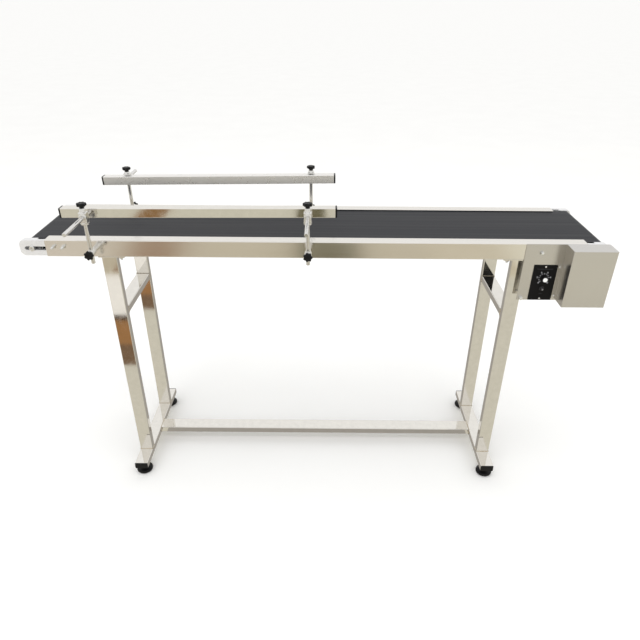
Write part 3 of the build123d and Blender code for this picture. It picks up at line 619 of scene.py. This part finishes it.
class CONVEYOR_OT_levelling_feet(bpy.types.Operator):
    """Rubber-faced levelling feet on threaded studs, with their lock nuts"""
    bl_idname = "conveyor.levelling_feet"
    bl_label = "Levelling Feet"

    def execute(self, context):
        low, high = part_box("foot_front_left")
        rim = (high.x - low.x) / 2 / MM
        rings = [(0.0, rim - 3.5), (0.5, rim - 1.8), (2.0, rim - 0.4), (4.0, rim), (6.6, rim - 0.1),
                 (8.6, rim - 1.2), (9.8, rim - 3.2), (10.2, rim - 4.8), (11.0, rim - 6.6),
                 (13.4, 13.4), (15.2, 10.6), (16.0, 9.0), (16.0, 7.2), (15.4, 5.4)]
        pad = turned("foot_pad", rings, 72)
        take(pad)
        bpy.ops.object.shade_smooth_by_angle(angle=math.radians(40))
        stud = turned("foot_stud", thread(14.0, 41.0, 4.9, 1.5) + [(42.4, 4.0)], 28)
        nut = hexagon("foot_lock_nut", 17.0, 7.0)
        for row, end in CORNERS:
            node = f"foot_{row}_{end}"
            axis = PIVOT_OF[node + "_turn"]
            place = Matrix.Translation((axis.x, axis.y, 0.0))
            fit_out(twin(pad, place, node + "_pad"), node, "nylon")
            fit_out(twin(stud, place, node + "_stud"), node, "zinc", False)
        nuts = []
        for low, high in solid_boxes("foot_nuts"):
            centre = (low + high) / 2
            nuts.append(twin(nut, Matrix.Translation((centre.x, centre.y, low.z)), "foot_nut"))
        fit_out(join(nuts, "foot_lock_nuts"), "foot_nuts", "zinc")
        for master in (pad, stud, nut):
            discard(master)
        return {"FINISHED"}


class CONVEYOR_OT_bolts(bpy.types.Operator):
    """M6 bolts with chamfered heads, nuts and threads"""
    bl_idname = "conveyor.bolts"
    bl_label = "Bolts"

    def execute(self, context):
        masters = {}
        made = []
        for low, high in solid_boxes("m6_bolts"):
            size = high - low
            upright = size.z > size.y
            length = (size.z if upright else size.y) / MM
            way = self.way(low, high, upright)
            key = round(length, 1)
            if key not in masters:
                masters[key] = bolt(length, self.stick_out(key, upright))
            centre = (low + high) / 2
            seat = centre - way * length * MM / 2
            made.append(twin(masters[key], facing(seat, way), "bolt"))
        for master in masters.values():
            discard(master)
        fit_out(join(made, "m6_bolts_and_nuts"), "m6_bolts", "zinc")
        return {"FINISHED"}

    def way(self, low, high, upright):
        """The direction from the head to the thread's end."""
        if upright:
            return Vector((0, 0, -1))
        return Vector((0, -1 if low.y < 0 else 1, 0))

    def stick_out(self, length, upright):
        """Thread beyond the face that the nut bears on: longest on the end blocks."""
        if length > 25 and not upright:
            return 15.0
        return 9.0 if upright or length > 15 else 8.0


class CONVEYOR_OT_axle_screws(bpy.types.Operator):
    """Socket head screws that hold the tail axle in its slots"""
    bl_idname = "conveyor.axle_screws"
    bl_label = "Axle Screws"

    def execute(self, context):
        screws = ease(welded_copy("axle_screws"), 0.4)
        for low, high in solid_boxes("axle_screws"):
            side = -1 if low.y < 0 else 1
            face = low.y if side < 0 else high.y
            socket = turned("socket_tool", [(-3.5, 2.9), (1.0, 2.9)], 6)
            socket.matrix_world = facing(((low.x + high.x) / 2, face, (low.z + high.z) / 2), (0, side, 0))
            combine(screws, socket)
        fit_out(screws, "axle_screws", "zinc")
        return {"FINISHED"}


class CONVEYOR_OT_small_screws(bpy.types.Operator):
    """Cross-recess pan head screws of the control panel and the drive cover"""
    bl_idname = "conveyor.small_screws"
    bl_label = "Small Screws"

    def execute(self, context):
        rings = [(-5.3, 1.2)] + thread(-5.0, -0.5, 1.5, 0.6) + [
            (0.0, 1.5), (0.0, 2.8), (0.5, 2.8), (1.1, 2.55), (1.55, 2.0), (1.8, 1.2)]
        screw = turned("pan_head_screw", rings, 32)
        for size in ((3.0, 0.6, 2.0), (0.6, 3.0, 2.0)):
            combine(screw, block("recess_tool", size, (0, 0, 1.95)))
        take(screw)
        bpy.ops.object.shade_smooth_by_angle(angle=math.radians(32))
        made = []
        for low, high in solid_boxes("small_screws"):
            centre = (low + high) / 2
            seat = (centre.x, low.y + 1.8 * MM, centre.z)
            made.append(twin(screw, facing(seat, (0, -1, 0)), "pan_head"))
        discard(screw)
        fit_out(join(made, "pan_head_screws"), "small_screws", "zinc")
        return {"FINISHED"}


class CONVEYOR_OT_clamps(bpy.types.Operator):
    """Die-cast cross clamps for the guide posts and rods"""
    bl_idname = "conveyor.clamps"
    bl_label = "Clamps"

    def execute(self, context):
        for row in ("front", "rear"):
            node = "upper_clamps_" + row
            made = []
            for low, high in solid_boxes(node):
                centre = (low + high) / 2
                centre.z = low.z + CROSS_DOWN * MM
                cross = self.upper_form((high.z - low.z) / MM - CROSS_DOWN)
                cross.matrix_world = Matrix.Translation(centre)
                made.append(cross)
            fit_out(join(made, node + "_cast"), node, "casting")
        self.lower_row()
        return {"FINISHED"}

    def soften(self, form):
        """Blend the joined barrels as a casting's fillets do."""
        apply_modifier(form, "REMESH", mode="VOXEL", voxel_size=0.6 * MM)
        apply_modifier(form, "SMOOTH", factor=0.5, iterations=5)
        return form

    def upper_form(self, top):
        """Square body with a boss for the rod along Y, a collar for the post and a neck for the knob."""
        form = ease(block("cross_body", (20, 20, 29), (0, 0, -0.5)), 2.6, 3)
        boss = turned("cross_boss", [(-10.9, 8.6), (-10.2, 9.4), (10.2, 9.4), (10.9, 8.6)], 48)
        boss.matrix_world = facing((0, 0, 0), (0, 1, 0))
        combine(form, boss, "UNION")
        combine(form, turned("cross_collar", [(-CROSS_DOWN, 9.8), (-18.2, 10.8), (-14, 10.8)], 48), "UNION")
        combine(form, turned("cross_neck", [(13, 8.6), (top - 0.8, 7.4), (top, 6.6)], 48), "UNION")
        self.soften(form)
        rod = turned("rod_bore", [(-20, BORE_R), (20, BORE_R)], 40)
        rod.matrix_world = facing((0, 0, 0), (0, 1, 0))
        combine(form, rod)
        combine(form, turned("post_bore", [(-30, BORE_R), (-8.0, BORE_R)], 40))
        combine(form, turned("screw_bore", [(7.0, CLAMP_SCREW_R), (30, CLAMP_SCREW_R)], 32))
        take(form)
        bpy.ops.object.shade_smooth_by_angle(angle=math.radians(40))
        return form

    def lower_row(self):
        """Eyes on short shanks outside the rails, and their nuts inside."""
        eye = None
        made = []
        for low, high in solid_boxes("lower_clamps"):
            side = -1 if low.y < 0 else 1
            centre = (low + high) / 2
            if high.y - low.y < 10 * MM:
                nut = hexagon("stud_nut", 13.0, 6.0)
                nut.matrix_world = facing((centre.x, centre.y - side * 3 * MM, centre.z), (0, side, 0))
                made.append(nut)
                continue
            if not eye:
                eye = self.eye_form((high.y - low.y) / MM)
            foot = low.y if side > 0 else high.y
            made.append(twin(eye, facing((centre.x, foot, centre.z), (0, side, 0)), "eye"))
        discard(eye)
        fit_out(join(made, "lower_clamps_cast"), "lower_clamps", "casting")

    def eye_form(self, length):
        """Shank along Z from the nut end, barrel at the far end with the post's bore through it."""
        shank_end = length - 19.0
        rings = [(8.8, 6.6), (9.6, 7.0), (shank_end, 7.0)]
        form = turned("eye_shank", rings, 40)
        barrel = [(length - 20, 9.0), (length - 19, 9.8), (length - 1.2, 9.8), (length, 8.8)]
        combine(form, turned("eye_barrel", barrel, 48), "UNION")
        self.soften(form)
        bore = turned("post_bore", [(-30, BORE_R), (30, BORE_R)], 40)
        bore.matrix_world = facing((0, 0, (length - 10) * MM), (0, 1, 0))
        combine(form, bore)
        screw = [(length - 5, CLAMP_SCREW_R), (length + 5, CLAMP_SCREW_R)]
        combine(form, turned("screw_bore", screw, 32))
        stud = turned("eye_stud", [(0.0, 3.2)] + thread(0.6, 8.4, 3.9, 1.25) + [(9.4, 3.9)], 28)
        take(form)
        bpy.ops.object.shade_smooth_by_angle(angle=math.radians(40))
        return join([form, stud], "eye")


class CONVEYOR_OT_speed_control(bpy.types.Operator):
    """Dial print, fluted knob with its pale cap, and the run switch"""
    bl_idname = "conveyor.speed_control"
    bl_label = "Speed Control"

    def execute(self, context):
        look = context.scene.conveyor_look
        axis = PIVOT_OF["speed_knob_turn"]
        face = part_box("control_panel")[0].y
        self.dial(look, axis, face)
        self.knob(axis, face)
        self.switch(face)
        return {"FINISHED"}

    def dial(self, look, axis, face):
        """Raised screen print: numbered marks and two rules."""
        made = []
        centre = Vector((axis.x, face - 0.04 * MM, axis.z))
        for i in range(look.dial_marks):
            angle = look.dial_sweep * (0.5 - i / (look.dial_marks - 1))
            spoke = Matrix.Translation(centre) @ Matrix.Rotation(-angle, 4, "Y")
            tick = block("tick", (1.0, DIAL_PRINT, 3.4 if i % 5 == 0 else 2.6))
            tick.matrix_world = spoke @ Matrix.Translation((0, 0, 12.6 * MM))
            made.append(tick)
            if i % 2 == 0:
                made.append(self.numeral(str(i), spoke @ Vector((0, 0, 18.2 * MM))))
        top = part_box("control_panel")[1].z
        fit_out(join(made, "dial_print"), "control_panel", "print", False)
        rules = []
        for width, drop in ((40.0, 11.5), (9.0, 84.0)):
            rule = block("rule", (width, DIAL_PRINT, 0.6))
            rule.matrix_world = Matrix.Translation((centre.x, centre.y, top - drop * MM))
            rules.append(rule)
        fit_out(join(rules, "panel_rules"), "control_panel", "faint", False)

    def numeral(self, text, place):
        """A number of the dial as a thin solid facing the user."""
        rest()
        bpy.ops.object.text_add()
        letter = bpy.context.object
        letter.data.body = text
        letter.data.size = 6.0 * MM
        letter.data.extrude = DIAL_PRINT / 2 * MM
        letter.data.align_x = "CENTER"
        letter.data.align_y = "CENTER"
        bpy.ops.object.convert(target="MESH")
        letter = bpy.context.object
        letter.matrix_world = Matrix.Translation(place) @ Matrix.Rotation(math.radians(90), 4, "X")
        return letter

    def knob(self, axis, face):
        """Skirt, tapered fluted grip, and a cap with a pointer groove."""
        sides = 72
        rings = [(0.5, 8.3), (0.9, 8.5), (2.6, 8.5), (3.2, 7.9), (3.4, 6.9), (12.2, 6.5), (13.0, 5.9)]
        grip = turned("speed_knob_grip", rings, sides)
        open_mesh(grip)

        def in_flute(place, way):
            step = round(math.atan2(place.y, place.x) / math.tau * sides)
            return step % 3 == 0 and 3.35 * MM < place.z < 12.9 * MM

        pick("VERT", in_flute)
        bpy.ops.transform.resize(value=(0.9, 0.9, 1), center_override=(0, 0, 0))
        close_mesh()
        grip.matrix_world = facing((axis.x, face, axis.z), (0, -1, 0))
        take(grip)
        bpy.ops.object.shade_smooth_by_angle(angle=math.radians(25))
        fit_out(grip, "speed_knob", "nylon")
        cap = turned("speed_knob_cap_top", [(13.0, 6.0), (14.0, 6.0), (14.5, 5.5), (14.6, 4.6)], 48)
        combine(cap, block("pointer_tool", (0.8, 5.0, 0.8), (0, 3.6, 14.6)))
        upright = Matrix.Rotation(math.radians(90), 4, "X")
        cap.matrix_world = Matrix.Translation((axis.x, face, axis.z)) @ upright
        take(cap)
        bpy.ops.object.shade_smooth_by_angle(angle=math.radians(32))
        fit_out(cap, "speed_knob_cap", "white")

    def switch(self, face):
        """Bat lever in a threaded bush with a hexagonal nut."""
        low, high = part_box("toggle_lever")
        x, z = (low.x + high.x) / 2, (low.z + high.z) / 2
        bat = [(-5.0, 1.1), (0.0, 1.1), (4.5, 1.2), (6.5, 1.7), (8.0, 2.1), (9.4, 2.2), (10.0, 1.9),
               (10.2, 1.2)]
        lever = turned("toggle_bat", bat, 32)
        lever.matrix_world = facing((x, face, z), (0, -1, 0))
        take(lever)
        bpy.ops.object.shade_smooth_by_angle(angle=math.radians(40))
        fit_out(lever, "toggle_lever", "lever")
        bush = turned("toggle_bush", [(0.0, 4.4)] + thread(0.2, 3.4, 4.6, 0.8) + [(3.8, 4.1)], 36)
        nut = hexagon("toggle_nut", 12.0, 2.0, 0.05)
        combine(nut, turned("nut_bore", [(-2.0, 4.3), (4.0, 4.3)], 36))
        combine(bush, turned("bush_bore", [(-2.0, 3.5), (6.0, 3.5)], 36))
        mount = join([bush, nut], "toggle_mount")
        mount.matrix_world = facing((x, face, z), (0, -1, 0))
        fit_out(mount, "control_panel", "case", False)


class CONVEYOR_OT_welds(bpy.types.Operator):
    """Weld runs where the frame tubes meet"""
    bl_idname = "conveyor.welds"
    bl_label = "Welds"

    def execute(self, context):
        runs = []
        for row, end in CORNERS:
            low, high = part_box(f"leg_{row}_{end}")
            runs += weld_ring(low, high, 2, low.z + 0.2 * MM)
            runs += weld_ring(low, high, 2, high.z - 0.2 * MM)
        for low, high in solid_boxes("leg_braces"):
            runs += weld_ring(low, high, 1, low.y)
            runs += weld_ring(low, high, 1, high.y)
        low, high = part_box("stretcher")
        runs += weld_ring(low, high, 0, low.x)
        runs += weld_ring(low, high, 0, high.x)
        fit_out(join(runs, "frame_welds"), "stretcher", "bead", False)
        return {"FINISHED"}


# Glowing cards on the floor that only reflections see, each a painted reflection: the pale ones paint the lit
# floor, the dark and brown ones paint shade and dark surroundings into the metal.
# Columns: name, west, east, near and far edge in metres, and painted reflection tone.
# Each lies a little above the one before it.
CARDS = (
    ("leg_card", -4.5, 4.5, -1.56, 4.5, "#dad6c8"),
    ("rail_card", -4.5, 4.5, -2.30, -1.56, "#c9bfa9"),
    ("guide_card", -4.5, 4.5, -4.50, -2.30, "#d8d4c4"),
    ("rail_left_card", -4.5, -1.28, -2.30, -1.56, "#d6ccbd"),
    ("rail_brown_card", -1.16, -0.84, -2.30, -1.60, "#8f6a48"),
    ("guide_brown_card", -1.30, -1.10, -2.95, -2.34, "#94714c"),
    ("white_lid_card", -1.60, -0.84, -1.56, -1.10, "#fffcf6"),
    ("dark_seam_card", -1.20, -0.70, -1.10, -1.05, "#3a2c20"),
    ("leg_brown_card", -1.20, -0.74, -1.05, -0.84, "#a57a50"),
    ("leg_shade_card", -1.20, -0.72, -0.84, -0.68, "#7e6650"),
    # painted shade: the floor's shade under the conveyor, as the metal reflects it
    ("between_legs_painted_shade_card", -0.53, 0.53, -0.30, 3.00, "#a8a49e"),
    ("dark_stand_card", -0.14, 0.24, -2.30, -1.56, "#706a52"),
    ("guide_stand_card", -0.17, 0.03, -3.00, -2.30, "#706a52"),
    ("rail_right_card", 0.66, 1.14, -2.30, -1.56, "#d5cbb5"),
    ("drive_card", 1.14, 2.60, -2.30, -1.30, "#eae5d2"),
)
CARD_STEP = 0.0002


class CONVEYOR_OT_stage(bpy.types.Operator):
    """Pale floor, soft lights, glowing cards that paint reflections and shade into the metal, surrounding light
    and the camera
    """
    bl_idname = "conveyor.stage"
    bl_label = "Stage"

    def execute(self, context):
        look = context.scene.conveyor_look
        self.floor(look)
        self.cards()
        self.sky(context, look)
        self.lamps()
        self.camera(context, look)
        return {"FINISHED"}

    def floor(self, look):
        rest()
        bpy.ops.mesh.primitive_plane_add(size=look.floor_size, location=(0, 0, -0.0015))
        floor = bpy.context.object
        floor.name = "studio_floor"
        mat, tree, shader, coords = start("matt_pale_floor_paint")
        noise = add(tree, "ShaderNodeTexNoise", {"Vector": coords}, Scale=3.0, Detail=3.0)
        tone = ramp(tree, noise.outputs["Fac"], 0.3, 0.7, linear("#fcfcfb"), tuple(look.floor_colour))
        tree.links.new(tone, shader.inputs["Base Color"])
        shader.inputs["Roughness"].default_value = 0.9
        shader.inputs["Specular IOR Level"].default_value = 0.1
        floor.data.materials.append(mat)

    def cards(self):
        """Glowing cards on the floor that only reflections see: painted reflections and painted shade that give
        bare metal its warm greys.
        """
        for step, (name, west, east, near, far, tone) in enumerate(CARDS):
            rest()
            bpy.ops.mesh.primitive_plane_add(size=1.0, location=((west + east) / 2, (near + far) / 2, 0.0))
            card = bpy.context.object
            card.name = name
            card.scale = (east - west, far - near, 1.0)
            bpy.ops.object.transform_apply(location=True, scale=True)
            card.location.z = (step + 1) * CARD_STEP
            card.data.materials.append(self.glow(name + "_painted_reflection", tone))
            for sense in ("camera", "diffuse", "shadow", "transmission", "volume_scatter"):
                setattr(card, "visible_" + sense, False)

    def glow(self, name, tone):
        """A sheet that glows with a painted reflection tone; no lamp lights it."""
        mat = bpy.data.materials.new(name)
        mat.use_nodes = True
        shader = mat.node_tree.nodes["Principled BSDF"]
        shader.inputs["Base Color"].default_value = linear("#000000")
        shader.inputs["Specular IOR Level"].default_value = 0.0
        shader.inputs["Emission Color"].default_value = linear(tone)
        shader.inputs["Emission Strength"].default_value = 1.0
        return mat

    def sky(self, context, look):
        world = bpy.data.worlds.new("studio_surround")
        context.scene.world = world
        world.use_nodes = True
        tree = world.node_tree
        ground = tree.nodes["Background"]
        coords = add(tree, "ShaderNodeTexCoord").outputs["Generated"]
        height = add(tree, "ShaderNodeSeparateXYZ", {"Vector": coords}).outputs["Z"]
        rise = remap(tree, height, 0.0, 1.0, -0.1, 0.9)
        tone = ramp(tree, rise, 0.0, 1.0, linear("#f3f2ef"), linear("#fdfdfd"))
        tree.links.new(tone, ground.inputs["Color"])
        ground.inputs["Strength"].default_value = look.sky_strength

    def lamps(self):
        for name, place, size, power in (
            ("overhead_softbox", (0.0, -0.4, 3.2), 3.6, 22.0),
            ("front_softbox", (-1.8, -3.0, 2.2), 2.2, 12.0),
        ):
            bpy.ops.object.light_add(type="AREA", location=place)
            lamp = bpy.context.object
            lamp.name = name
            lamp.data.shape = "RECTANGLE"
            lamp.data.size = size
            lamp.data.size_y = size * 0.6
            lamp.data.energy = power
            lamp.visible_glossy = False
            aim = Vector((0, 0, 0.6)) - Vector(place)
            lamp.rotation_euler = aim.to_track_quat("-Z", "Y").to_euler()

    def camera(self, context, look):
        bpy.ops.object.camera_add(location=look.camera_place)
        cam = bpy.context.object
        cam.name = "viewing_camera"
        turn = Matrix.Rotation(math.radians(0.10), 4, "Z")
        tilt = Matrix.Rotation(math.radians(90) - look.camera_pitch, 4, "X")
        roll = Matrix.Rotation(math.radians(0.40), 4, "Z")
        cam.rotation_euler = (turn @ tilt @ roll).to_euler()
        cam.data.lens = look.camera_lens
        cam.data.sensor_width = 36.0
        cam.data.shift_x = -0.0037
        cam.data.shift_y = 0.0027
        cam.data.clip_end = 1500.0
        context.scene.camera = cam
        context.scene.view_settings.view_transform = "Standard"


class CONVEYOR_PT_sidebar(bpy.types.Panel):
    """Lists the operators that finish the conveyor"""
    bl_label = "Conveyor"
    bl_idname = "CONVEYOR_PT_sidebar"
    bl_space_type = "VIEW_3D"
    bl_region_type = "UI"
    bl_category = "Conveyor"

    def draw(self, context):
        for step in STEPS:
            self.layout.operator(step.bl_idname)


STEPS = (
    CONVEYOR_OT_finishes,
    CONVEYOR_OT_eased_parts,
    CONVEYOR_OT_star_knobs,
    CONVEYOR_OT_levelling_feet,
    CONVEYOR_OT_bolts,
    CONVEYOR_OT_axle_screws,
    CONVEYOR_OT_small_screws,
    CONVEYOR_OT_clamps,
    CONVEYOR_OT_speed_control,
    CONVEYOR_OT_welds,
    CONVEYOR_OT_stage,
)


def register():
    bpy.utils.register_class(ConveyorLook)
    bpy.types.Scene.conveyor_look = bpy.props.PointerProperty(type=ConveyorLook)
    for step in STEPS:
        bpy.utils.register_class(step)
    bpy.utils.register_class(CONVEYOR_PT_sidebar)


def unregister():
    bpy.utils.unregister_class(CONVEYOR_PT_sidebar)
    for step in reversed(STEPS):
        bpy.utils.unregister_class(step)
    del bpy.types.Scene.conveyor_look
    bpy.utils.unregister_class(ConveyorLook)


def main():
    register()
    bpy.ops.conveyor.finishes()
    bpy.ops.conveyor.eased_parts()
    bpy.ops.conveyor.star_knobs()
    bpy.ops.conveyor.levelling_feet()
    bpy.ops.conveyor.bolts()
    bpy.ops.conveyor.axle_screws()
    bpy.ops.conveyor.small_screws()
    bpy.ops.conveyor.clamps()
    bpy.ops.conveyor.speed_control()
    bpy.ops.conveyor.welds()
    bpy.ops.conveyor.stage()


if __name__ == "__main__":
    main()
